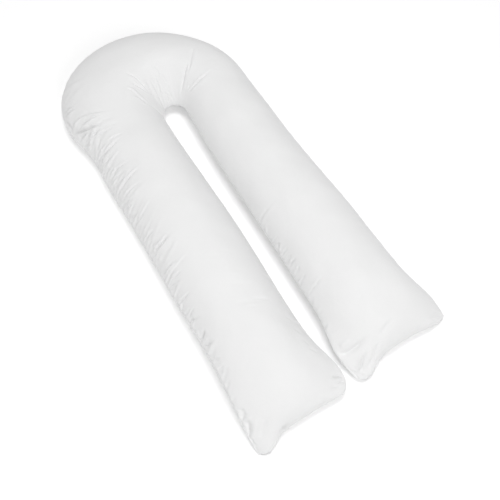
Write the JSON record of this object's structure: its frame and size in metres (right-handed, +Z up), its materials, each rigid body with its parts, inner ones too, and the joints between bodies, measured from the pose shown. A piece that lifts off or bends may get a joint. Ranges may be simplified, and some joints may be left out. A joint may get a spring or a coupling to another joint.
{
  "type": "body pillow",
  "caption": "U-shaped filled body pillow: long parallel legs joined by a rounded arch for the head, a seam around the edge and closed leg ends with drawn-out corners.",
  "frame": {"origin": "centre of the footprint, on the surface that the pillow lies on", "axes": "+Y from the open leg ends towards the arch, +X from the left leg to the right leg, +Z up"},
  "size_m": [0.7162, 1.5028, 0.1812],
  "materials": {
    "white_cotton": "matte plain-woven white cotton"
  },
  "bodies": {
    "root": {"body_pillow": "white_cotton"}
  },
  "joints": []
}
